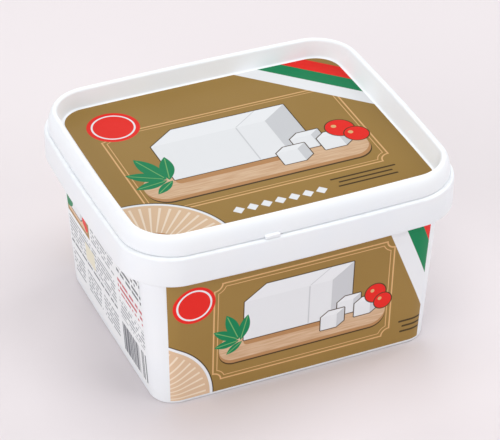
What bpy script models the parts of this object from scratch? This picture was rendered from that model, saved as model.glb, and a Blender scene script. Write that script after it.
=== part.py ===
"""A shut rectangular cheese tub of white plastic: tub with collar, lid with a raised rim, and the labels."""

import math

import bmesh
import bpy

MM = 0.001

# Driving sizes, in millimetres. Half sizes are measured from the tub's middle to the middle of a side
# before it is bowed, and an inset is counted inwards from the collar's outer face.
COLLAR_HALF_X = 82.7
COLLAR_HALF_Y = 71.7
COLLAR_RADIUS = 23.0
COLLAR_BOW = 2.4
COLLAR_BOTTOM_Z = 76.0
COLLAR_TOP_Z = 91.4
COLLAR_WALL = 1.4
COLLAR_DRAFT = 0.2
COLLAR_EDGE_RADIUS = 0.7
LIP_RADIUS = 1.3

FOOT_HALF_X = 71.0
FOOT_HALF_Y = 61.3
FOOT_RADIUS = 12.0
FOOT_BOW = 0.3
FOOT_EDGE_RADIUS = 1.2
FOOT_RING_WIDTH = 5.0
BASE_RECESS = 1.0
WALL_DRAFT_DEG = 3.55
WALL_RADIUS_GROWTH = 0.8
CHANNEL_TOP_Z = 88.6
LEDGE_WIDTH = 6.6
WELL_DEPTH = 1.6
WELL_RADIUS = 16.5

LID_GAP = 0.3
LID_INSET = 1.0
LID_RADIUS = 24.2
LID_BOW = 1.5
LID_TOP_Z = 101.4
CREST_INSET = 4.8
CREST_RADIUS = 1.5
CREST_CORNER_RADIUS = 18.5
LID_EDGE_RADIUS = 0.5
FLOOR_HALF_X = 73.0
FLOOR_HALF_Y = 63.8
FLOOR_RADIUS = 13.0
FLOOR_BOW = 0.7
FLOOR_Z = 91.45
FLOOR_FILLET = 1.1

TAB_X = -18.4
TAB_WIDTH = 7.2
TAB_REACH = 1.5
TAB_HEIGHT = 1.7
TAB_SLOPE = 0.45

LABEL_THICKNESS = 0.12
LABEL_GAP = 0.1
LID_LABEL_MARGIN = 0.3
SIDE_LABEL_BOTTOM_Z = 1.9
SIDE_LABEL_TOP_Z = 80.0
SIDE_LABEL_WRAP_DEG = 28.0
END_LABEL_BOTTOM_Z = 4.0
END_LABEL_HALF_WIDTH = 54.0

CORNER_STEPS = 10
SIDE_STEPS = 8
WRAP_STEPS = 4
SHARP_DEG = 35

WHITE_PLASTIC = (0.84, 0.84, 0.88)
GOLD_PRINT = (0.34, 0.21, 0.06)
WHITE_PRINT = (0.86, 0.86, 0.88)
PLASTIC_ROUGHNESS = 0.38
PRINT_ROUGHNESS = 0.42


def clear_scene():
    for obj in list(bpy.data.objects):
        bpy.data.objects.remove(obj)


def new_collection(name):
    collection = bpy.data.collections.new(name)
    bpy.context.scene.collection.children.link(collection)
    return collection


def new_material(name, colour, roughness):
    material = bpy.data.materials.new(name)
    material.use_nodes = True
    shader = material.node_tree.nodes["Principled BSDF"]
    shader.inputs["Base Color"].default_value = (*colour, 1.0)
    shader.inputs["Roughness"].default_value = roughness
    shader.inputs["Metallic"].default_value = 0.0
    return material


def bowed(x, y, half_x, half_y, bow):
    """The point moved outwards, most at the middle of a side and not at all at the corners."""
    out_x = x * (1 + bow / half_x * (1 - min(1.0, (y / half_y) ** 2)))
    out_y = y * (1 + bow / half_y * (1 - min(1.0, (x / half_x) ** 2)))
    return out_x, out_y


def outline(half_x, half_y, radius, bow):
    """A rounded rectangle with bowed sides, anticlockwise, always with the same number of points."""
    corners = (
        (half_x - radius, half_y - radius, 0),
        (radius - half_x, half_y - radius, 90),
        (radius - half_x, radius - half_y, 180),
        (half_x - radius, radius - half_y, 270),
    )
    points = []
    for number, (centre_x, centre_y, start) in enumerate(corners):
        arc = []
        for step in range(CORNER_STEPS + 1):
            angle = math.radians(start + 90 * step / CORNER_STEPS)
            arc.append((centre_x + radius * math.cos(angle), centre_y + radius * math.sin(angle)))
        points += arc
        next_x, next_y, next_start = corners[(number + 1) % 4]
        angle = math.radians(next_start)
        end_x = next_x + radius * math.cos(angle)
        end_y = next_y + radius * math.sin(angle)
        start_x, start_y = arc[-1]
        for step in range(1, SIDE_STEPS):
            share = step / SIDE_STEPS
            points.append((mixed(start_x, end_x, share), mixed(start_y, end_y, share)))
    return [bowed(x, y, half_x, half_y, bow) for x, y in points]


def mixed(low, high, share):
    return low + (high - low) * share


def collar_section(inset, z, radius=None):
    """The outline at an inset from the collar's face, and its height."""
    corner = COLLAR_RADIUS - inset if radius is None else radius
    return outline(COLLAR_HALF_X - inset, COLLAR_HALF_Y - inset, corner, COLLAR_BOW), z


def wall_half_sizes(z):
    """Half sizes and corner radius of the tub's drafted wall at a height."""
    growth = z * math.tan(math.radians(WALL_DRAFT_DEG))
    return FOOT_HALF_X + growth, FOOT_HALF_Y + growth, FOOT_RADIUS + WALL_RADIUS_GROWTH * growth


def wall_section(z, inset=0.0):
    half_x, half_y, radius = wall_half_sizes(max(z, 0.0))
    return outline(half_x - inset, half_y - inset, radius - inset, FOOT_BOW), z


def lid_section(inset, z):
    """The lid's outline: its corner radius runs from the seam's to the crest's, and on to the floor's."""
    if inset <= CREST_INSET:
        share = (inset - LID_INSET) / (CREST_INSET - LID_INSET)
        radius = mixed(LID_RADIUS, CREST_CORNER_RADIUS, share)
    else:
        radius = CREST_CORNER_RADIUS - (inset - CREST_INSET)
    return outline(COLLAR_HALF_X - inset, COLLAR_HALF_Y - inset, radius, LID_BOW), z


def floor_section(grow, z):
    """The recess floor's outline, grown by a width."""
    half_x = FLOOR_HALF_X + grow
    half_y = FLOOR_HALF_Y + grow
    return outline(half_x, half_y, FLOOR_RADIUS + grow, FLOOR_BOW), z


def loft(name, sections, material, collection):
    """A closed solid through the sections, capped by flat faces at both ends."""
    mesh = bpy.data.meshes.new(name)
    edit = bmesh.new()
    rings = []
    for points, z in sections:
        rings.append([edit.verts.new((x * MM, y * MM, z * MM)) for x, y in points])
    for lower, upper in zip(rings, rings[1:]):
        for i in range(len(lower)):
            j = (i + 1) % len(lower)
            edit.faces.new((lower[i], lower[j], upper[j], upper[i]))
    edit.faces.new(list(reversed(rings[0])))
    edit.faces.new(rings[-1])
    bmesh.ops.recalc_face_normals(edit, faces=edit.faces)
    edit.to_mesh(mesh)
    edit.free()
    return finished(name, mesh, material, collection)


def finished(name, mesh, material, collection):
    """The mesh as an object, shaded smooth except at its sharp edges."""
    mesh.materials.append(material)
    mesh.shade_smooth()
    mesh.set_sharp_from_angle(angle=math.radians(SHARP_DEG))
    obj = bpy.data.objects.new(name, mesh)
    collection.objects.link(obj)
    return obj


def arc_steps(start_deg, end_deg, count):
    return [math.radians(mixed(start_deg, end_deg, i / count)) for i in range(count + 1)]


def make_tub(material, collection):
    """The tub, its foot, and the collar that hangs round its top with an open channel behind it."""
    ring_inset = FOOT_EDGE_RADIUS + FOOT_RING_WIDTH
    sections = [
        (wall_section(0.0, ring_inset + BASE_RECESS)[0], BASE_RECESS),
        wall_section(0.0, ring_inset),
    ]
    for angle in arc_steps(0, 90, 3):
        inset = FOOT_EDGE_RADIUS * (1 - math.sin(angle))
        z = FOOT_EDGE_RADIUS * (1 - math.cos(angle))
        sections.append(wall_section(z, inset))
    sections.append(wall_section(COLLAR_BOTTOM_Z / 2))
    sections.append(wall_section(CHANNEL_TOP_Z))

    sections.append(collar_section(COLLAR_WALL + COLLAR_DRAFT, CHANNEL_TOP_Z))
    for angle in arc_steps(-90, 90, 4):
        inset = COLLAR_EDGE_RADIUS * (1 - math.sin(angle))
        z = COLLAR_BOTTOM_Z + COLLAR_EDGE_RADIUS * (1 - math.cos(angle))
        sections.append(collar_section(inset, z))
    for angle in arc_steps(0, 90, 4):
        inset = LIP_RADIUS * (1 - math.cos(angle))
        z = COLLAR_TOP_Z - LIP_RADIUS * (1 - math.sin(angle))
        sections.append(collar_section(inset, z))

    sections.append(collar_section(LEDGE_WIDTH, COLLAR_TOP_Z, WELL_RADIUS))
    sections.append(collar_section(LEDGE_WIDTH, COLLAR_TOP_Z - WELL_DEPTH, WELL_RADIUS))
    return loft("tub", sections, material, collection)


def make_lid(material, collection):
    """The lid: a plug inside the tub, a rounded outer wall, the crest, and the recess inside it."""
    base_z = COLLAR_TOP_Z + LID_GAP
    plug_inset = LEDGE_WIDTH + LID_GAP
    plug_z = COLLAR_TOP_Z - WELL_DEPTH + LID_GAP
    plug_radius = WELL_RADIUS - LID_GAP
    sections = [collar_section(plug_inset, z, plug_radius) for z in (plug_z, base_z)]
    for angle in arc_steps(0, 90, 3):
        inset = LID_INSET + LID_EDGE_RADIUS * (1 - math.sin(angle))
        z = base_z + LID_EDGE_RADIUS * (1 - math.cos(angle))
        sections.append(lid_section(inset, z))

    wall_z = base_z + LID_EDGE_RADIUS
    for angle in arc_steps(0, 90, 9)[1:]:
        inset = CREST_INSET - (CREST_INSET - LID_INSET) * math.cos(angle)
        z = mixed(wall_z, LID_TOP_Z, math.sin(angle))
        sections.append(lid_section(inset, z))
    for angle in arc_steps(0, 80, 4)[1:]:
        inset = CREST_INSET + CREST_RADIUS * math.sin(angle)
        z = LID_TOP_Z - CREST_RADIUS * (1 - math.cos(angle))
        sections.append(lid_section(inset, z))
    for angle in arc_steps(80, 0, 4):
        grow = FLOOR_FILLET * math.sin(angle)
        z = FLOOR_Z + FLOOR_FILLET * (1 - math.cos(angle))
        sections.append(floor_section(grow, z))
    return loft("lid", sections, material, collection)


def add_tab(lid, cutters):
    """The small tab at the front, joined to the lid where it closes the seam."""
    base_z = COLLAR_TOP_Z + LID_GAP
    seam_y = -(COLLAR_HALF_Y - LID_INSET + LID_BOW)
    depth = TAB_REACH + LID_EDGE_RADIUS
    mesh = bpy.data.meshes.new("tab_block")
    edit = bmesh.new()
    bmesh.ops.create_cube(edit, size=1.0)
    bmesh.ops.scale(edit, vec=(TAB_WIDTH * MM, depth * MM, TAB_HEIGHT * MM), verts=edit.verts)
    middle = (TAB_X, seam_y - TAB_REACH + depth / 2, base_z + TAB_HEIGHT / 2)
    bmesh.ops.translate(edit, vec=[c * MM for c in middle], verts=edit.verts)
    front = min(v.co.y for v in edit.verts)
    for vert in edit.verts:
        if vert.co.y < front + MM / 2 and vert.co.z > middle[2] * MM:
            vert.co.y += TAB_SLOPE * depth * MM
    edit.to_mesh(mesh)
    edit.free()
    block = bpy.data.objects.new("tab_block", mesh)
    cutters.objects.link(block)
    block.hide_render = True
    block.display_type = "WIRE"
    joined = lid.modifiers.new("tab", "BOOLEAN")
    joined.operation = "UNION"
    joined.object = block
    return block


def add_skin(obj):
    """Gives an open surface the label's thickness, on its outer side."""
    skin = obj.modifiers.new("thickness", "SOLIDIFY")
    skin.thickness = LABEL_THICKNESS * MM
    skin.offset = 1.0


def make_lid_label(material, collection):
    """The label on the floor of the lid's recess."""
    points, z = floor_section(-LID_LABEL_MARGIN, FLOOR_Z + LABEL_GAP)
    mesh = bpy.data.meshes.new("lid_label")
    edit = bmesh.new()
    edit.faces.new([edit.verts.new((x * MM, y * MM, z * MM)) for x, y in points])
    edit.to_mesh(mesh)
    edit.free()
    label = finished("lid_label", mesh, material, collection)
    add_skin(label)
    return label


def long_side_path(z, wrap_deg):
    """The front wall's outline at a height, with the same part of the turn of both its corners."""
    half_x, half_y, radius = wall_half_sizes(z)
    corner_x = half_x - radius
    corner_y = half_y - radius
    points = []
    for angle in arc_steps(-wrap_deg, 0, WRAP_STEPS):
        points.append((-corner_x + radius * math.sin(angle), -corner_y - radius * math.cos(angle)))
    for step in range(1, SIDE_STEPS):
        points.append((mixed(-corner_x, corner_x, step / SIDE_STEPS), -half_y))
    for angle in arc_steps(0, wrap_deg, WRAP_STEPS):
        points.append((corner_x + radius * math.sin(angle), -corner_y - radius * math.cos(angle)))
    return [bowed(x, y, half_x, half_y, FOOT_BOW) for x, y in points]


def end_path(z):
    """The flat part of the left wall's outline at a height."""
    half_x, half_y, radius = wall_half_sizes(z)
    width = min(END_LABEL_HALF_WIDTH, half_y - radius)
    points = [(-half_x, mixed(width, -width, step / SIDE_STEPS)) for step in range(SIDE_STEPS + 1)]
    return [bowed(x, y, half_x, half_y, FOOT_BOW) for x, y in points]


def make_wall_label(name, path_at, bottom_z, turn_deg, material, collection):
    """A label on a drafted wall, with the wall's own curve, turned to its side of the tub."""
    heights = (bottom_z, mixed(bottom_z, SIDE_LABEL_TOP_Z, 0.5), SIDE_LABEL_TOP_Z)
    mesh = bpy.data.meshes.new(name)
    edit = bmesh.new()
    rows = []
    for z in heights:
        row = []
        for x, y in path_at(z):
            length = math.hypot(x, y)
            clear = (1 + LABEL_GAP / length) * MM
            row.append(edit.verts.new((x * clear, y * clear, z * MM)))
        rows.append(row)
    for lower, upper in zip(rows, rows[1:]):
        for i in range(len(lower) - 1):
            edit.faces.new((lower[i], lower[i + 1], upper[i + 1], upper[i]))
    edit.to_mesh(mesh)
    edit.free()
    label = finished(name, mesh, material, collection)
    label.rotation_euler.z = math.radians(turn_deg)
    add_skin(label)
    return label


def main():
    clear_scene()
    tub_parts = new_collection("cheese_tub")
    cutters = new_collection("helpers")
    plastic = new_material("white_plastic", WHITE_PLASTIC, PLASTIC_ROUGHNESS)
    gold = new_material("gold_print", GOLD_PRINT, PRINT_ROUGHNESS)
    white = new_material("white_print", WHITE_PRINT, PRINT_ROUGHNESS)

    make_tub(plastic, tub_parts)
    lid = make_lid(plastic, tub_parts)
    add_tab(lid, cutters)
    make_lid_label(gold, tub_parts)

    def front(z):
        return long_side_path(z, SIDE_LABEL_WRAP_DEG)

    make_wall_label("front_label", front, SIDE_LABEL_BOTTOM_Z, 0, gold, tub_parts)
    make_wall_label("back_label", front, SIDE_LABEL_BOTTOM_Z, 180, gold, tub_parts)
    make_wall_label("left_label", end_path, END_LABEL_BOTTOM_Z, 0, white, tub_parts)
    make_wall_label("right_label", end_path, END_LABEL_BOTTOM_Z, 180, white, tub_parts)


main()
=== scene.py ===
"""The looks of a shut rectangular tub of white cheese: plastic tub and lid, and printed labels."""

import math

import bmesh
import bpy
from mathutils import Euler, Matrix, Vector


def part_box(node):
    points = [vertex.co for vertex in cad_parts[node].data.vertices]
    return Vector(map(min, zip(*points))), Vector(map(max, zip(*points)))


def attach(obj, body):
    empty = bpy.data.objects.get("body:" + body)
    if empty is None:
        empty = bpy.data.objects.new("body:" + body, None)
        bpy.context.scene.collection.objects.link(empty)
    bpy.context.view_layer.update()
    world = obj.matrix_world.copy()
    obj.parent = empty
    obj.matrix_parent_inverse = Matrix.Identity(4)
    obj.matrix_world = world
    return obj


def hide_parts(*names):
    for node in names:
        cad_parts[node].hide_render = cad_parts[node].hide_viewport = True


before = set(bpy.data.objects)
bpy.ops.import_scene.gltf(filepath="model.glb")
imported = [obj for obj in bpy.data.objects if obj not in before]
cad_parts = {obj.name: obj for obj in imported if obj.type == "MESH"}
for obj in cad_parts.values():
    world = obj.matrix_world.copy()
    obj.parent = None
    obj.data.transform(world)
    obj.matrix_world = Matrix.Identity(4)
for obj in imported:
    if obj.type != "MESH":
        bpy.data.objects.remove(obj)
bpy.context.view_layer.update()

# The camera stands a good metre away, to the left of the front and above the lid, and looks down on the
# tub through a long lens.
MM = 0.001
IMAGE_WIDTH = 500
SENSOR_WIDTH = 36
VIEW_AZIMUTH = math.radians(-23.48)
VIEW_ELEVATION = math.radians(34.58)
VIEW_ROLL = math.radians(0.12)
VIEW_DISTANCE = 1214 * MM
VIEW_TARGET = Vector((1.98, 0, 49.26)) * MM
FOCAL_PIXELS = 2490.6

camera_data = bpy.data.cameras.new("camera")
camera_data.sensor_width = SENSOR_WIDTH
camera_data.lens = FOCAL_PIXELS * SENSOR_WIDTH / IMAGE_WIDTH
camera = bpy.data.objects.new("camera", camera_data)
bpy.context.scene.collection.objects.link(camera)
turn = Euler((math.pi / 2 - VIEW_ELEVATION, 0, VIEW_AZIMUTH)).to_matrix()
turn = turn @ Matrix.Rotation(VIEW_ROLL, 3, "Z")
backwards = turn @ Vector((0, 0, 1))
camera.matrix_world = Matrix.Translation(VIEW_TARGET + backwards * VIEW_DISTANCE) @ turn.to_4x4()
bpy.context.scene.camera = camera

# The tub is injection moulded in white polypropylene. Its walls lean out a little, it stands on a ring
# round a raised base, and a collar hangs round its top, with a ledge inside it that carries the lid.
# Sizes are in millimetres. Half sizes run from the middle to a side before it is bowed outwards.
CORNER_STEPS = 30
SIDE_STEPS = 20
FOOT_STEPS = 6
LIP_STEPS = 8
COLLAR_BOW = 2.4
COLLAR_RADIUS = 23.0
COLLAR_BOTTOM_Z = 76.0
COLLAR_TOP_Z = 91.4
COLLAR_WALL = 1.4
COLLAR_DRAFT = 0.2
COLLAR_EDGE_RADIUS = 0.7
LIP_RADIUS = 1.3
FOOT_HALF_X = 71.0
FOOT_HALF_Y = 61.3
FOOT_RADIUS = 12.0
FOOT_BOW = 0.3
FOOT_EDGE_RADIUS = 1.2
FOOT_RING_WIDTH = 5.0
BASE_RECESS = 1.0
BASE_RAMP = 0.4
WALL_LEAN = math.tan(math.radians(3.55))
WALL_RADIUS_GROWTH = 0.8
CHANNEL_TOP_Z = 88.6
LEDGE_WIDTH = 6.6
WELL_DEPTH = 1.4
WELL_RADIUS = 16.5
GATE_RADIUS = 4.0
GATE_DEPTH = 0.5
GATE_NUB_RADIUS = 0.9
GATE_NUB_HEIGHT = 0.3
GATE_FLATS = 0.08
LEVEL_STEP = 0.05
SHARP_DEGREES = 35

tub_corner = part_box("tub")[1]
COLLAR_HALF_X = tub_corner[0] / MM - COLLAR_BOW
COLLAR_HALF_Y = tub_corner[1] / MM - COLLAR_BOW


def start_piece(name):
    """A new empty mesh object, alone in the selection and open in edit mode."""
    bpy.ops.object.select_all(action="DESELECT")
    mesh = bpy.data.meshes.new(name)
    mesh.attributes.new("ring", "INT", "POINT")
    piece = bpy.data.objects.new(name, mesh)
    bpy.context.scene.collection.objects.link(piece)
    bpy.context.view_layer.objects.active = piece
    piece.select_set(True)
    bpy.ops.object.mode_set(mode="EDIT")
    return piece


def pick_vertices(wanted):
    """Selects the vertices whose place and ring number are wanted, and nothing else."""
    mesh = bpy.context.object.data
    bpy.ops.mesh.select_all(action="DESELECT")
    shape = bmesh.from_edit_mesh(mesh)
    ring = shape.verts.layers.int["ring"]
    for vert in shape.verts:
        if wanted(vert.co / MM, vert[ring]):
            vert.select_set(True)
    shape.select_flush_mode()
    bmesh.update_edit_mesh(mesh)


def add_ring(number, half_x, half_y, radius, bow, z):
    """Adds a rounded rectangle as one face, with each side bowed outwards in the middle."""
    mesh = bpy.context.object.data
    bpy.ops.mesh.select_all(action="DESELECT")
    bpy.ops.mesh.primitive_plane_add(size=2, location=(0, 0, z * MM))
    bpy.ops.transform.resize(value=(half_x * MM, half_y * MM, 1))
    bpy.ops.mesh.bevel(affect="VERTICES", offset=radius * MM, segments=CORNER_STEPS)
    shape = bmesh.from_edit_mesh(mesh)
    face = next(face for face in shape.faces if face.select)
    sides = sorted(face.edges, key=lambda edge: edge.calc_length())[-4:]
    bpy.ops.mesh.select_all(action="DESELECT")
    for side in sides:
        side.select_set(True)
    bmesh.update_edit_mesh(mesh)
    bpy.ops.mesh.subdivide(number_cuts=SIDE_STEPS - 1)
    shape = bmesh.from_edit_mesh(mesh)
    ring = shape.verts.layers.int["ring"]
    for vert in shape.verts:
        if vert[ring] == 0:
            vert[ring] = number
    bmesh.update_edit_mesh(mesh)
    for axis, side, reach in ((1, 1, half_x), (1, -1, half_x), (0, 1, half_y), (0, -1, half_y)):
        def middle_of_side(place, ring):
            return ring == number and abs(place[1 - axis]) < MM and place[axis] * side > 0

        pick_vertices(middle_of_side)
        pull = [0, 0, 0]
        pull[axis] = side * bow * MM
        bpy.ops.transform.translate(
            value=pull,
            use_proportional_edit=True,
            use_proportional_connected=True,
            proportional_edit_falloff="INVERSE_SQUARE",
            proportional_size=reach * MM,
        )
    pick_vertices(lambda place, ring: ring == number)


def skin_rings(sections):
    """Adds a ring for each section and bridges it to the one before. The end rings keep their faces.

    Each section lies a little above or below the one before, because two on one level would be
    bridged with a twist.
    """
    for number, section in enumerate(sections, start=1):
        add_ring(number, *section)
        if 1 < number < len(sections):
            bpy.ops.mesh.delete(type="ONLY_FACE")
        if number > 1:
            bridge_rings(number - 1, number)


def bridge_rings(low, high):
    mesh = bpy.context.object.data
    bpy.ops.mesh.select_all(action="DESELECT")
    shape = bmesh.from_edit_mesh(mesh)
    ring = shape.verts.layers.int["ring"]
    for edge in shape.edges:
        first, second = (vert[ring] for vert in edge.verts)
        if first == second and first in (low, high):
            edge.select_set(True)
    bmesh.update_edit_mesh(mesh)
    bpy.ops.mesh.bridge_edge_loops()


def finish_piece(piece):
    """Closes edit mode with the faces outwards, and shades the piece smooth but for its sharp edges."""
    bpy.ops.mesh.select_all(action="SELECT")
    bpy.ops.mesh.normals_make_consistent(inside=False)
    if bmesh.from_edit_mesh(piece.data).calc_volume(signed=True) < 0:
        bpy.ops.mesh.flip_normals()
    bpy.ops.object.mode_set(mode="OBJECT")
    bpy.ops.object.shade_smooth_by_angle(angle=math.radians(SHARP_DEGREES))
    piece.data.attributes.remove(piece.data.attributes["ring"])


def mixed(low, high, share):
    return low + (high - low) * share


def arc(start_degrees, end_degrees, steps):
    return [math.radians(mixed(start_degrees, end_degrees, step / steps)) for step in range(steps + 1)]


WALL_SHARES = (0, 0.25, 0.5, 0.75, 1)


def wall_ring(z, inset=0.0):
    """A section of the leaning wall, which also gets rounder corners as it rises."""
    growth = max(z, 0.0) * WALL_LEAN
    radius = FOOT_RADIUS + WALL_RADIUS_GROWTH * growth - inset
    return FOOT_HALF_X + growth - inset, FOOT_HALF_Y + growth - inset, radius, FOOT_BOW, z


def collar_ring(inset, z, radius=None):
    corner = COLLAR_RADIUS - inset if radius is None else radius
    return COLLAR_HALF_X - inset, COLLAR_HALF_Y - inset, corner, COLLAR_BOW, z


def gate_ring(radius, z):
    """A section of the gate mark: a circle, but for four short flats."""
    half_size = radius * (1 + GATE_FLATS)
    return half_size, half_size, radius, 0.0, z


base_inset = FOOT_EDGE_RADIUS + FOOT_RING_WIDTH
dimple_z = BASE_RECESS + GATE_DEPTH
sections = [
    gate_ring(GATE_NUB_RADIUS, dimple_z - GATE_NUB_HEIGHT),
    gate_ring(GATE_NUB_RADIUS, dimple_z + LEVEL_STEP),
    gate_ring(GATE_RADIUS, dimple_z),
    gate_ring(GATE_RADIUS, BASE_RECESS + LEVEL_STEP),
    (*wall_ring(0, base_inset + BASE_RECESS)[:4], BASE_RECESS),
    (*wall_ring(0, base_inset + BASE_RAMP)[:4], BASE_RAMP),
    wall_ring(LEVEL_STEP, base_inset),
]
for angle in arc(0, 90, FOOT_STEPS):
    z = FOOT_EDGE_RADIUS * (1 - math.cos(angle))
    sections.append(wall_ring(z, FOOT_EDGE_RADIUS * (1 - math.sin(angle))))
for share in WALL_SHARES[1:]:
    sections.append(wall_ring(share * CHANNEL_TOP_Z))
sections.append(collar_ring(COLLAR_WALL + COLLAR_DRAFT, CHANNEL_TOP_Z + LEVEL_STEP))
for angle in arc(-90, 90, LIP_STEPS):
    inset = COLLAR_EDGE_RADIUS * (1 - math.sin(angle))
    if math.cos(angle) > 0 and math.sin(angle) < 0:
        inset += COLLAR_DRAFT * -math.sin(angle) / 2
    z = COLLAR_BOTTOM_Z + COLLAR_EDGE_RADIUS * (1 - math.cos(angle))
    sections.append(collar_ring(inset, z))
for angle in arc(0, 90, LIP_STEPS):
    z = COLLAR_TOP_Z - LIP_RADIUS * (1 - math.sin(angle))
    sections.append(collar_ring(LIP_RADIUS * (1 - math.cos(angle)), z))
sections.append(collar_ring(LEDGE_WIDTH, COLLAR_TOP_Z - LEVEL_STEP, WELL_RADIUS))
sections.append(collar_ring(LEDGE_WIDTH, COLLAR_TOP_Z - WELL_DEPTH, WELL_RADIUS))

tub = start_piece("moulded_tub")
skin_rings(sections)
finish_piece(tub)
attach(tub, "root")
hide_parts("tub")


class Finish:
    """A material for one surface of the tub. Every node in it comes from one method."""

    def __init__(self, name, **constants):
        self.material = bpy.data.materials.new(name)
        self.material.use_nodes = True
        self.tree = self.material.node_tree
        self.shader = self.tree.nodes["Principled BSDF"]
        for socket, value in constants.items():
            self.feed(self.shader.inputs[socket.replace("_", " ")], value)

    def feed(self, socket, value):
        if isinstance(value, Field):
            self.tree.links.new(value.socket, socket)
        else:
            socket.default_value = value

    def node(self, kind, settings, inputs, output=0):
        """Adds a node, its settings first and then the values or links of its sockets."""
        node = self.tree.nodes.new(kind)
        for setting, value in settings.items():
            setattr(node, setting, value)
        for socket, value in inputs.items():
            self.feed(node.inputs[socket], value)
        return Field(self, node.outputs[output])

    def drive(self, socket, field):
        self.feed(self.shader.inputs[socket], field)

    def place(self, centre=(0, 0, 0), turn=(0, 0, 0)):
        """Object coordinates in millimetres, measured from a centre and turned about it."""
        where = self.node("ShaderNodeTexCoord", {}, {}, output=3)
        return self.node(
            "ShaderNodeMapping",
            {"vector_type": "TEXTURE"},
            {0: where, 1: [c * MM for c in centre], 2: turn, 3: (MM, MM, MM)},
        )

    def split(self, vector):
        parts = [self.node("ShaderNodeSeparateXYZ", {}, {0: vector}, output=0)]
        for output in (1, 2):
            parts.append(Field(self, parts[0].socket.node.outputs[output]))
        return parts

    def noise(self, vector, size, detail=2.0, roughness=0.5):
        """Even noise about 0, whose blotches are about size millimetres across."""
        inputs = {"Vector": vector, "Scale": 1 / size, "Detail": detail, "Roughness": roughness}
        return self.node("ShaderNodeTexNoise", {}, inputs) - 0.5

    def over(self, below, above, mask):
        """One colour laid over another where the mask is 1."""
        return self.node("ShaderNodeMix", {"data_type": "RGBA"}, {0: mask, 6: below, 7: above}, output=2)

    def relief(self, height, strength, distance):
        inputs = {"Strength": strength, "Distance": distance, "Height": height}
        self.drive("Normal", self.node("ShaderNodeBump", {}, inputs))

    def put_on(self, piece):
        piece.data.materials.clear()
        piece.data.materials.append(self.material)


class Field:
    """A value that varies over a surface. Arithmetic on it adds the Math nodes that work it out."""

    def __init__(self, finish, socket):
        self.finish = finish
        self.socket = socket

    def math(self, operation, *values, clamp=False):
        inputs = dict(enumerate(values))
        return self.finish.node("ShaderNodeMath", {"operation": operation, "use_clamp": clamp}, inputs)

    def __add__(self, other):
        return self.math("ADD", self, other)

    __radd__ = __add__

    def __sub__(self, other):
        return self.math("SUBTRACT", self, other)

    def __rsub__(self, other):
        return self.math("SUBTRACT", other, self)

    def __mul__(self, other):
        return self.math("MULTIPLY", self, other)

    __rmul__ = __mul__

    def __truediv__(self, other):
        return self.math("DIVIDE", self, other)

    def __abs__(self):
        return self.math("ABSOLUTE", self)

    def most(self, other):
        return self.math("MAXIMUM", self, other)

    def clamped(self):
        return self.math("MULTIPLY_ADD", self, 1, 0, clamp=True)


def linear(red, green, blue):
    """A colour as it reads on a screen, in parts of 255, turned to the light it stands for."""
    channels = []
    for part in (red / 255, green / 255, blue / 255):
        channels.append(part / 12.92 if part <= 0.04045 else ((part + 0.055) / 1.055) ** 2.4)
    return (*channels, 1.0)


PLASTIC_COOL = linear(234, 238, 243)
PLASTIC_WARM = linear(238, 240, 242)
PLASTIC_RUBBED = linear(220, 221, 224)
CLOUD_SIZE = 22
SKIN_SIZE = 0.55
RUB_SIZE = 6
PLASTIC_ROUGHNESS = 0.33
RELIEF_DEPTH = 0.02


def white_plastic(name, edges):
    """Soft white moulded plastic: a faint orange-peel skin, cloudy gloss, and dull rubs along its edges."""
    finish = Finish(name, IOR=1.49, Specular_IOR_Level=0.42)
    place = finish.place()
    clouds = finish.noise(place, CLOUD_SIZE, detail=3)
    skin = finish.noise(place, SKIN_SIZE, detail=2)
    rubs = finish.noise(place, RUB_SIZE, detail=5, roughness=0.7)
    _, _, height = finish.split(place)
    near_edge = 0
    for edge_z, reach in edges:
        near_edge = (1 - abs(height - edge_z) / reach).most(near_edge)
    wear = ((rubs * 4 + 0.3) * near_edge).clamped()
    tone = (0.5 + clouds * 1.6).clamped()
    plain = finish.over(PLASTIC_COOL, PLASTIC_WARM, tone)
    finish.drive("Base Color", finish.over(plain, PLASTIC_RUBBED, wear * 0.5))
    scuffs = rubs.most(0.08) - 0.08
    finish.drive("Roughness", PLASTIC_ROUGHNESS + clouds * 0.1 + scuffs * 0.5 + wear * 0.25)
    finish.relief(skin + clouds * 6 + wear * rubs * 3, 0.25, RELIEF_DEPTH * MM)
    return finish


FOOT_WEAR = 2.5
COLLAR_WEAR = 1.5

tub_edges = ((0, FOOT_WEAR), (COLLAR_BOTTOM_Z, COLLAR_WEAR), (COLLAR_TOP_Z, COLLAR_WEAR))
white_plastic("tub_white_plastic", tub_edges).put_on(tub)

# The lid is moulded in the same plastic. Its plug drops inside the tub, its edge rests on the ledge, and
# its wall curves up to a rounded crest round a sunken floor, so that another tub can stand on it.
LID_GAP = 0.15
LID_INSET = 1.0
LID_RADIUS = 24.2
LID_BOW = 1.5
LID_EDGE_RADIUS = 0.5
LID_EDGE_STEPS = 5
CREST_INSET = 4.8
CREST_RADIUS = 1.5
CREST_CORNER_RADIUS = 18.5
CREST_STEPS = 16
CREST_WEAR = 1.2
FLOOR_HALF_X = 73.0
FLOOR_HALF_Y = 63.8
FLOOR_RADIUS = 13.0
FLOOR_BOW = 0.7
FLOOR_Z = 91.45
FLOOR_FILLET = 1.1
FILLET_STEPS = 8
FILLET_END = 80
PLUG_DEPTH = 1.0
TAB_X = -18.4
TAB_WIDTH = 7.2
TAB_REACH = 1.5
TAB_HEIGHT = 1.7
TAB_EDGE = 0.35
TAB_EDGE_STEPS = 4

LID_TOP_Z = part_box("lid")[1][2] / MM
LID_BASE_Z = COLLAR_TOP_Z + LID_GAP


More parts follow.
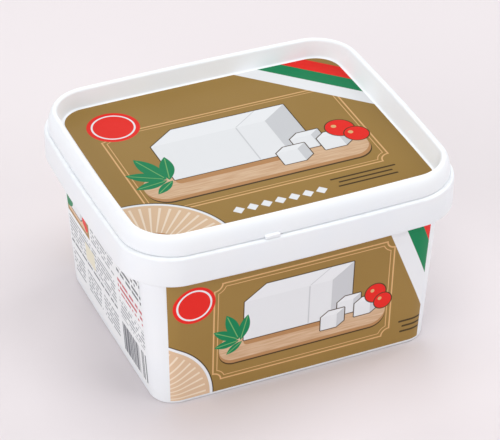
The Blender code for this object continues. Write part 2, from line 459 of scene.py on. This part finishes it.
def lid_ring(inset, z):
    """A section of the lid, with the seam's corner radius at the seam and the crest's at the crest."""
    if inset <= CREST_INSET:
        radius = mixed(LID_RADIUS, CREST_CORNER_RADIUS, (inset - LID_INSET) / (CREST_INSET - LID_INSET))
    else:
        radius = CREST_CORNER_RADIUS + CREST_INSET - inset
    return COLLAR_HALF_X - inset, COLLAR_HALF_Y - inset, radius, LID_BOW, z


def floor_ring(grow, z):
    return FLOOR_HALF_X + grow, FLOOR_HALF_Y + grow, FLOOR_RADIUS + grow, FLOOR_BOW, z


sections = []
for z in (LID_BASE_Z - PLUG_DEPTH, LID_BASE_Z - LEVEL_STEP):
    sections.append(collar_ring(LEDGE_WIDTH + 2 * LID_GAP, z, WELL_RADIUS - LID_GAP))
for angle in arc(0, 90, LID_EDGE_STEPS):
    inset = LID_INSET + LID_EDGE_RADIUS * (1 - math.sin(angle))
    sections.append(lid_ring(inset, LID_BASE_Z + LID_EDGE_RADIUS * (1 - math.cos(angle))))
for angle in arc(0, 90, CREST_STEPS)[1:]:
    inset = CREST_INSET - (CREST_INSET - LID_INSET) * math.cos(angle)
    sections.append(lid_ring(inset, mixed(LID_BASE_Z + LID_EDGE_RADIUS, LID_TOP_Z, math.sin(angle))))
for angle in arc(0, FILLET_END, FILLET_STEPS)[1:]:
    inset = CREST_INSET + CREST_RADIUS * math.sin(angle)
    sections.append(lid_ring(inset, LID_TOP_Z - CREST_RADIUS * (1 - math.cos(angle))))
for angle in arc(FILLET_END, 0, FILLET_STEPS):
    z = FLOOR_Z + FLOOR_FILLET * (1 - math.cos(angle))
    sections.append(floor_ring(FLOOR_FILLET * math.sin(angle), z))

lid = start_piece("moulded_lid")
skin_rings(sections)
finish_piece(lid)

bpy.ops.object.select_all(action="DESELECT")
seam_y = -(COLLAR_HALF_Y - LID_INSET + LID_BOW)
tab_depth = TAB_REACH + LID_EDGE_RADIUS
tab_place = (TAB_X, seam_y - TAB_REACH + tab_depth / 2, LID_BASE_Z + TAB_HEIGHT / 2)
bpy.ops.mesh.primitive_cube_add(size=1, location=[c * MM for c in tab_place])
tab = bpy.context.object
tab.scale = (TAB_WIDTH * MM, tab_depth * MM, TAB_HEIGHT * MM)
bpy.ops.object.transform_apply(location=True, rotation=True, scale=True)
rounding = tab.modifiers.new("edge", "BEVEL")
rounding.width = TAB_EDGE * MM
rounding.segments = TAB_EDGE_STEPS
bpy.ops.object.modifier_apply(modifier=rounding.name)
joint = lid.modifiers.new("tab", "BOOLEAN")
joint.operation = "UNION"
joint.object = tab
bpy.ops.object.select_all(action="DESELECT")
bpy.context.view_layer.objects.active = lid
lid.select_set(True)
bpy.ops.object.modifier_apply(modifier=joint.name)
bpy.ops.object.shade_smooth_by_angle(angle=math.radians(SHARP_DEGREES))
bpy.data.objects.remove(tab)
white_plastic("lid_white_plastic", ((LID_TOP_Z, CREST_WEAR),)).put_on(lid)
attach(lid, "root")
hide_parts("lid")

# The lid's label is a thin printed film on the floor of the recess, a little less shiny than the films on
# the walls, with painted shade darkening all its inks. Its print is a plain picture of white cheese on a
# board, with stripes, a red spot and fine bars.
FILM = 0.12
FILM_GAP = 0.1
LID_FILM_MARGIN = 0.3
PRINT_EDGE = 0.18
OUTLINE = 0.55

GOLD = linear(162, 130, 72)
GOLD_DEEP = linear(152, 120, 62)
WHITE_INK = linear(238, 240, 243)
GREEN_INK = linear(16, 132, 84)
RED_INK = linear(234, 40, 32)
TAN_INK = linear(222, 190, 158)
WOOD_INK = linear(186, 138, 92)
PEACH_INK = linear(224, 178, 124)
BROWN_INK = linear(72, 54, 30)
SHADE_INK = linear(206, 208, 212)
FRONT_INK = linear(233, 235, 238)
AMBER_INK = linear(243, 180, 62)
LEAF_INK = linear(120, 178, 110)
FAN_INK = linear(240, 222, 200)
# Painted shade: a dark coat laid over the lid's whole print, so that it reads darker than the walls'
# prints.
LID_SHADE_INK = linear(24, 18, 12)
LID_PAINTED_SHADE = 0.25
LID_SHINE = 0.06
WALL_SHINE = 0.16


class Print(Finish):
    """A printed film: inks laid one over another, placed in millimetres across and up the film."""

    def __init__(self, name, shine, axes, middle=(0, 0, 0), facing=1):
        super().__init__(name, IOR=1.5, Specular_IOR_Level=shine)
        place = self.split(self.place(middle))
        across, up = (place[axis] for axis in axes)
        self.spot = self.node("ShaderNodeCombineXYZ", {}, {0: across * facing, 1: up})
        self.ink = None

    def lay(self, colour, distance):
        """Ink where the distance to a shape's edge is negative, with an edge as soft as print."""
        mask = distance.math("MULTIPLY_ADD", distance, -1 / PRINT_EDGE, 0.5, clamp=True)
        self.ink = self.over(self.ink, colour, mask)

    def vector(self, operation, *values, output=0):
        inputs = dict(enumerate(values))
        return self.node("ShaderNodeVectorMath", {"operation": operation}, inputs, output=output)

    def disc(self, x, y, radius):
        return self.vector("DISTANCE", self.spot, (x, y, 0), output=1) - radius

    def local(self, x, y, turn=0.0):
        return self.node(
            "ShaderNodeMapping",
            {"vector_type": "TEXTURE"},
            {0: self.spot, 1: (x, y, 0), 2: (0, 0, math.radians(turn)), 3: (1, 1, 1)},
        )

    def plate(self, x, y, half_x, half_y, radius, turn=0.0):
        """A rectangle with rounded corners."""
        corner = self.vector("ABSOLUTE", self.local(x, y, turn))
        corner = self.vector("SUBTRACT", corner, (half_x - radius, half_y - radius, 0))
        corner = self.vector("MAXIMUM", corner, (0, 0, 0))
        return self.vector("LENGTH", corner, output=1) - radius

    def slanted(self, x, y, along, up):
        """A parallelogram, given by its middle and by half of each of its edges."""
        return self.strip(x, y, up, along).most(self.strip(x, y, along, up))

    def strip(self, x, y, way, corner):
        """An endless strip through a point, wide enough to reach a corner and the one opposite."""
        length = math.hypot(*way)
        across = (-way[1] / length, way[0] / length)
        half_width = abs(across[0] * corner[0] + across[1] * corner[1])
        level = self.vector("DOT_PRODUCT", self.spot, (*across, 0), output=1)
        return abs(level - (x * across[0] + y * across[1])) - half_width

    def leaf(self, x, y, turn, length, width):
        """A pointed leaf from its stalk end, and the line of its midrib."""
        along, side, _ = self.split(self.local(x, y, turn))
        from_middle = along / (length / 2) - 1
        edge = abs(side) - width / 2 * (1 - from_middle * from_middle)
        rib = (abs(side) - 0.22).most(abs(from_middle) * (length / 2) - length * 0.42)
        return edge, rib

    def block(self, x, y, half_x, half_y, deep):
        """A block seen from a little above and to its right: outline, top, end and front."""
        hull = self.plate(x + deep[0], y + deep[1], half_x + deep[0], half_y + deep[1], 0.3)
        hull = hull.most(self.strip(x, y, deep, (-half_x, half_y)))
        self.lay(BROWN_INK, hull - OUTLINE)
        self.lay(WHITE_INK, hull)
        self.lay(SHADE_INK, self.slanted(x + half_x + deep[0], y + deep[1], deep, (0, half_y)))
        self.lay(FRONT_INK, self.plate(x, y, half_x, half_y, 0.3))


LEAVES = (
    (-40, -11, 150, 18),
    (-40, -11, 112, 21),
    (-39, -12, 76, 18),
    (-40, -12, 186, 15),
    (-38, -13, 218, 12),
)
CUBES = ((26, -8), (37, -12), (16, -16))
ROUNDS = ((45, -3, 6.4), (50, -10, 5.4))


def cheese_picture(film, x, y, scale):
    """A white block with cut cubes on a round-ended board, with leaves and red rounds at its ends."""
    s = scale
    grain_place = film.node("ShaderNodeMapping", {}, {0: film.spot, 3: (0.12, 1.6, 1)})
    grain = (film.noise(grain_place, 1.6, detail=3) * 3 + 0.5).clamped()
    wood = film.over(TAN_INK, WOOD_INK, grain * 0.55)
    for ink, drop in ((BROWN_INK, 19.2), (WOOD_INK, 18.2), (wood, 16)):
        film.lay(ink, film.plate(x, y - drop * s, 52 * s, 9.5 * s, 9.4 * s))
    film.lay(WOOD_INK, film.plate(x - 6 * s, y - 14 * s, 31 * s, 2.6 * s, 2.5 * s))
    film.block(x - 10 * s, y + 1 * s, 27 * s, 14 * s, (6.5 * s, 4.8 * s))
    film.lay(SHADE_INK, film.plate(x + 3 * s, y + 1 * s, 0.35, 13.6 * s, 0.3))
    film.lay(SHADE_INK, film.slanted(x + 9.5 * s, y + 19.8 * s, (0.35, 0), (6.3 * s, 4.65 * s)))
    for cube_x, cube_y in CUBES:
        film.block(x + cube_x * s, y + cube_y * s, 5 * s, 4.8 * s, (2.3 * s, 1.7 * s))
    for leaf_x, leaf_y, turn, length in LEAVES:
        edge, rib = film.leaf(x + leaf_x * s, y + leaf_y * s, turn, length * s, length * s * 0.36)
        film.lay(GREEN_INK, edge)
        film.lay(LEAF_INK, rib)
    for round_x, round_y, radius in ROUNDS:
        film.lay(BROWN_INK, film.disc(x + round_x * s, y + round_y * s, radius * s + OUTLINE))
        film.lay(RED_INK, film.disc(x + round_x * s, y + round_y * s, radius * s))
        film.lay(PEACH_INK, film.disc(x + (round_x - 2) * s, y + (round_y + 2) * s, 1.2 * s))


FRAME_GAP = 2
FRAME_LINE = 0.38
FRAME_FINE_LINE = 0.22


def notched_frame(film, x, y, half_x, half_y, notch):
    """Two thin lines round the picture, with a bite out of each corner."""
    corner = film.vector("ABSOLUTE", film.local(x, y))
    bite = notch - film.vector("DISTANCE", corner, (half_x, half_y, 0), output=1)
    edge = film.plate(x, y, half_x, half_y, 0.5).most(bite)
    film.lay(PEACH_INK, abs(edge) - FRAME_LINE)
    inner = film.plate(x, y, half_x - FRAME_GAP, half_y - FRAME_GAP, 0.5).most(bite + FRAME_GAP)
    film.lay(PEACH_INK, abs(inner) - FRAME_FINE_LINE)


def sash(film, lean, start, width):
    """Three stripes side by side: white, green and red."""
    angle = math.radians(lean)
    across = (math.cos(angle), math.sin(angle), 0)
    along = film.vector("DOT_PRODUCT", film.spot, across, output=1)
    for number, colour in enumerate((WHITE_INK, GREEN_INK, RED_INK)):
        film.lay(colour, abs(along - (start + (number + 0.5) * width)) - width / 2)


def ringed_spot(film, x, y, radius):
    """A red spot with a fine white ring inside its edge."""
    film.lay(RED_INK, film.disc(x, y, radius))
    film.lay(WHITE_INK, abs(film.disc(x, y, radius * 0.8)) - 0.45)


FAN_RIBS = 24


def corner_fan(film, x, y, radius):
    """A tan fan with pale ribs that fills a corner."""
    across, up, _ = film.split(film.local(x, y))
    turns = up.math("ARCTAN2", up, across) * (FAN_RIBS / math.pi)
    ribs = abs(turns.math("FRACT", turns) - 0.5)
    reach = film.disc(x, y, radius)
    film.lay(BROWN_INK, reach - OUTLINE)
    film.lay(WHITE_INK, reach)
    film.lay(TAN_INK, reach + 1.4)
    film.lay(FAN_INK, ((ribs - 0.13) * 6).most(reach + 3.4))
    film.lay(WOOD_INK, reach + radius * 0.58)
    film.lay(AMBER_INK, reach + radius * 0.61)


BAR_PITCH = 3.2
BAR_HALF_HEIGHT = 0.55


def fine_bars(film, x, y, rows):
    """Rows of thin dark bars of different lengths, centred under each other."""
    for number, length in enumerate(rows):
        bar = film.plate(x, y - BAR_PITCH * number, length / 2, BAR_HALF_HEIGHT, 0.5)
        film.lay(BROWN_INK, bar)


DRIFT_SIZE = 60
GRAIN_SIZE = 0.5
RIPPLE_SIZE = 9
SPECK_SIZE = 0.7
PRINT_ROUGHNESS = 0.4


def gold_ground(film):
    """Bronze ink with a slow drift of tone and the fine grain of a printed metal colour."""
    drift = film.noise(film.spot, DRIFT_SIZE, detail=1)
    grain = film.noise(film.spot, GRAIN_SIZE, detail=1)
    film.ink = film.over(GOLD_DEEP, GOLD, (0.5 + drift * 1.2 + grain * 0.5).clamped())


def finish_print(film):
    """The film's own finish over the inks: satin, a little uneven, with a faint ripple."""
    ripple = film.noise(film.spot, RIPPLE_SIZE)
    speck = film.noise(film.spot, SPECK_SIZE)
    film.drive("Base Color", film.ink)
    film.drive("Roughness", PRINT_ROUGHNESS + ripple * 0.12 + speck * 0.1)
    film.relief(speck + ripple * 8, 0.2, RELIEF_DEPTH * MM)


def thicken(piece):
    """Gives a sheet the film's thickness, outwards, with crisp edges."""
    thickness = piece.modifiers.new("film", "SOLIDIFY")
    thickness.thickness = FILM * MM
    thickness.offset = 1.0
    bpy.ops.object.modifier_apply(modifier=thickness.name)
    bpy.ops.object.shade_smooth_by_angle(angle=math.radians(SHARP_DEGREES))


lid_label = start_piece("lid_label_film")
add_ring(1, *floor_ring(-LID_FILM_MARGIN, FLOOR_Z + FILM_GAP))
finish_piece(lid_label)
thicken(lid_label)

film = Print("lid_print", LID_SHINE, axes=(0, 1))
gold_ground(film)
notched_frame(film, -1, 0, 61, 36, 5)
cheese_picture(film, -1, 2, 1.1)
sash(film, 45, 60, 9)
corner_fan(film, -73, -64, 40)
ringed_spot(film, -52, 42, 13)
fine_bars(film, 42, -41, (34, 28, 31))
for diamond_x in range(-24, 25, 7):
    film.lay(WHITE_INK, film.plate(diamond_x, -47, 2.1, 2.1, 0.3, turn=45))
# Painted shade: the lid's inks are darkened all over, standing in for less light on the lid.
film.ink = film.over(film.ink, LID_SHADE_INK, LID_PAINTED_SHADE)
finish_print(film)
film.put_on(lid_label)
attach(lid_label, "root")
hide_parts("lid_label")

# The wall labels are the same film, moulded into the walls: bronze on the long sides, round each corner
# by about a quarter of its turn, and white with grey rows and panels on the ends.
LONG_LABEL_BOTTOM_Z = 1.9
END_LABEL_BOTTOM_Z = 4.0
LABEL_TOP_Z = 80.0
LONG_LABEL_WRAP = math.radians(28)
PRINT_MIDDLE_Z = 39


def corner_cut(side_x, side_y, direction, kept):
    """A cut through a corner's leaning axis, along a direction: its foot, and the way that is cleared."""
    feet = []
    for z in (0.0, LABEL_TOP_Z):
        half_x, half_y, radius, _, _ = wall_ring(z)
        feet.append(Vector((side_x * (half_x - radius), side_y * (half_y - radius), z)))
    normal = (feet[1] - feet[0]).cross(Vector(direction)).normalized()
    towards_kept = normal.dot(Vector(kept) - feet[0]) > 0
    return feet[0], -normal if towards_kept else normal


def wall_film(name, cuts, bottom_z):
    """A stretch of the wall between its cuts, lifted off it and given the film's thickness."""
    piece = start_piece(name)
    skin_rings([wall_ring(share * CHANNEL_TOP_Z) for share in WALL_SHARES])
    below = (Vector((0, 0, bottom_z)), Vector((0, 0, -1)))
    above = (Vector((0, 0, LABEL_TOP_Z)), Vector((0, 0, 1)))
    for point, outwards in (*cuts, below, above):
        bpy.ops.mesh.select_all(action="SELECT")
        bpy.ops.mesh.bisect(plane_co=point * MM, plane_no=outwards, clear_outer=True)
    shape = bmesh.from_edit_mesh(piece.data)
    bpy.ops.mesh.select_all(action="DESELECT")
    for face in shape.faces:
        if abs(face.normal.z) > 0.9:
            face.select_set(True)
    bmesh.update_edit_mesh(piece.data)
    bpy.ops.mesh.delete(type="FACE")
    bpy.ops.mesh.select_all(action="SELECT")
    bpy.ops.transform.shrink_fatten(value=FILM_GAP * MM)
    finish_piece(piece)
    thicken(piece)
    return piece


def turned_copy(piece, name):
    """A copy with its own mesh, turned half way round the tub."""
    bpy.ops.object.select_all(action="DESELECT")
    copy = piece.copy()
    copy.data = piece.data.copy()
    copy.name = name
    bpy.context.scene.collection.objects.link(copy)
    bpy.context.view_layer.objects.active = copy
    copy.select_set(True)
    bpy.ops.object.mode_set(mode="EDIT")
    bpy.ops.mesh.select_all(action="SELECT")
    bpy.ops.transform.rotate(value=math.pi, orient_axis="Z", center_override=(0, 0, 0))
    bpy.ops.object.mode_set(mode="OBJECT")
    return copy


def gold_print(name, facing):
    """The long sides' print, seen from outside with its own left and right."""
    film = Print(name, WALL_SHINE, axes=(0, 2), middle=(0, 0, PRINT_MIDDLE_Z), facing=facing)
    gold_ground(film)
    notched_frame(film, 2, -1, 46, 29, 4)
    cheese_picture(film, 2, 1, 0.83)
    sash(film, 22, 54, 8)
    corner_fan(film, -80, -37, 36)
    ringed_spot(film, -54, 19, 10.5)
    fine_bars(film, 61, -24, (16, 12, 14))
    finish_print(film)
    return film


lean = (math.sin(LONG_LABEL_WRAP), math.cos(LONG_LABEL_WRAP))
long_cuts = (
    corner_cut(-1, -1, (-lean[0], -lean[1], 0), (0, -FOOT_HALF_Y, 0)),
    corner_cut(1, -1, (lean[0], -lean[1], 0), (0, -FOOT_HALF_Y, 0)),
    (Vector((0, 0, 0)), Vector((0, 1, 0))),
)
front_label = wall_film("front_label_film", long_cuts, LONG_LABEL_BOTTOM_Z)
back_label = turned_copy(front_label, "back_label_film")
for label, node, facing in ((front_label, "front_label", 1), (back_label, "back_label", -1)):
    gold_print(f"{node}_print", facing).put_on(label)
    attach(label, "root")
    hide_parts(node)

# The ends carry the small print of such a pack: here only grey rows, a red line, a beige panel, a striped
# panel and a small picture under the collar.
PAPER = linear(242, 243, 245)
PAPER_DULL = linear(236, 238, 239)
GREY_INK = linear(160, 163, 168)
DARK_INK = linear(104, 106, 112)
ROSE_INK = linear(196, 96, 104)
STRIPE_INK = linear(112, 114, 120)
BEIGE_INK = linear(230, 225, 204)
DASH_SHARE = 0.25
DASH_LENGTH = 2.6
STRIPE_PITCH = 0.55
SMALL_PRINT = (
    (-1.5, 61, 15.5, 14.5, 2.3, GREY_INK),
    (-18.5, 36, 32.5, 6.9, 2.3, GREY_INK),
    (-18.5, 27.2, 32.5, 1.1, 2.6, DARK_INK),
    (-41, 16.6, 8, 6.8, 2.3, GREY_INK),
    (-19, 16.6, 9.5, 6.8, 2.3, GREY_INK),
    (4, 16.6, 10, 6.8, 2.3, GREY_INK),
    (35, 62, 16.5, 10, 3.3, DARK_INK),
    (35, 45.5, 16.5, 4.4, 3.6, ROSE_INK),
    (35, 32.1, 16.5, 5.7, 2.3, GREY_INK),
)


def fine_rows(film, x, y, half_x, half_y, pitch, ink, seed):
    """A block of rows, broken into dashes of uneven length."""
    across, up, _ = film.split(film.spot)
    level = up / pitch
    row = level.math("FLOOR", level)
    cell = film.node("ShaderNodeCombineXYZ", {}, {0: across / DASH_LENGTH, 1: row * 7.3 + seed})
    gap = -0.1 - film.noise(cell, 1.0, detail=0)
    within_row = abs(level.math("FRACT", level) - 0.5) - DASH_SHARE
    dash = (within_row * pitch).most(gap * DASH_LENGTH * 2)
    film.lay(ink, dash.most(film.plate(x, y, half_x, half_y, 0.2)))


def end_print(name, facing):
    """The ends' small print, seen from outside with its own left and right."""
    film = Print(name, WALL_SHINE, axes=(1, 2), facing=facing)
    film.ink = film.over(PAPER, PAPER_DULL, (0.5 + film.noise(film.spot, 30) * 1.5).clamped())
    for seed, block in enumerate(SMALL_PRINT):
        fine_rows(film, *block, seed)
    film.lay(BEIGE_INK, film.plate(-21.5, 34.5, 6.5, 5, 0.4))
    across, _, _ = film.split(film.spot)
    step = across / STRIPE_PITCH
    step = step.math("FLOOR", step)
    shade = film.node("ShaderNodeTexWhiteNoise", {"noise_dimensions": "1D"}, {"W": step})
    film.lay(STRIPE_INK, film.plate(34.2, 14.8, 15, 8.4, 0.3).most((shade - 0.6) * 2))
    film.lay(GOLD, film.plate(-35.2, 60, 15.8, 14.3, 0.4))
    film.lay(WOOD_INK, film.plate(-35.2, 48.9, 13.6, 2.1, 2.0))
    film.lay(TAN_INK, film.plate(-35.2, 49.5, 13.6, 1.9, 1.8))
    film.block(-37.5, 54.5, 6.5, 4.4, (2.4, 1.8))
    for x, y, radius in ((-25.5, 52.6, 2.7), (-23.4, 50.4, 2.3)):
        film.lay(RED_INK, film.disc(x, y, radius))
    for turn in (60, 100, 140, 170):
        edge, _ = film.leaf(-45, 49.8, turn, 8, 3.2)
        film.lay(GREEN_INK, edge)
    finish_print(film)
    return film


end_cuts = (
    corner_cut(-1, -1, (-1, 0, 0), (-FOOT_HALF_X, 0, 0)),
    corner_cut(-1, 1, (-1, 0, 0), (-FOOT_HALF_X, 0, 0)),
    (Vector((0, 0, 0)), Vector((1, 0, 0))),
)
left_label = wall_film("left_label_film", end_cuts, END_LABEL_BOTTOM_Z)
right_label = turned_copy(left_label, "right_label_film")
for label, node, facing in ((left_label, "left_label", -1), (right_label, "right_label", 1)):
    end_print(f"{node}_print", facing).put_on(label)
    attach(label, "root")
    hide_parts(node)

# The tub stands on a plain pale table, wide enough to fill the view, under soft lamps and a pale sky.
TABLE_SIZE = 8.0
TABLE_PALE = linear(221, 215, 217)
TABLE_TINT = linear(218, 210, 213)
TABLE_CLOUDS = 400
TABLE_GRAIN = 30
LAMP_AIM_Z = 50.0
SKY_COLOUR = (0.97, 0.98, 1.0, 1.0)
SKY_STRENGTH = 0.23

bpy.ops.object.select_all(action="DESELECT")
bpy.ops.mesh.primitive_plane_add(size=TABLE_SIZE, location=(0, 0, 0))
table = bpy.context.object
table.name = "table"
table_finish = Finish("table_paper")
place = table_finish.place()
tone = (0.5 + table_finish.noise(place, TABLE_CLOUDS)).clamped()
table_finish.drive("Base Color", table_finish.over(TABLE_PALE, TABLE_TINT, tone))
table_finish.drive("Roughness", 0.7 + table_finish.noise(place, TABLE_GRAIN) * 0.1)
table_finish.put_on(table)


def add_lamp(name, place, power, width):
    """A square soft lamp that faces the middle of the tub, with its place and width in metres."""
    data = bpy.data.lights.new(name, "AREA")
    data.energy = power
    data.size = width
    lamp = bpy.data.objects.new(name, data)
    bpy.context.scene.collection.objects.link(lamp)
    lamp.location = place
    aim = Vector((0, 0, LAMP_AIM_Z * MM)) - Vector(place)
    lamp.rotation_euler = aim.to_track_quat("-Z", "Y").to_euler()


add_lamp("top_lamp", (0.0, 0.0, 1.8), 16.5, 1.4)
add_lamp("near_corner_lamp", (-1.3, -1.3, 0.9), 12.5, 1.2)
add_lamp("left_lamp", (-1.8, -0.2, 0.8), 12.0, 1.2)
add_lamp("front_lamp", (1.3, -1.3, 0.9), 11.0, 1.2)
add_lamp("right_lamp", (1.6, 0.2, 1.2), 12.5, 1.2)
add_lamp("back_lamp", (0.2, 1.6, 1.0), 9.0, 1.2)
world = bpy.data.worlds.new("sky")
world.use_nodes = True
light = world.node_tree.nodes["Background"].inputs
light["Color"].default_value = SKY_COLOUR
light["Strength"].default_value = SKY_STRENGTH
bpy.context.scene.world = world
bpy.context.scene.view_settings.view_transform = "Standard"
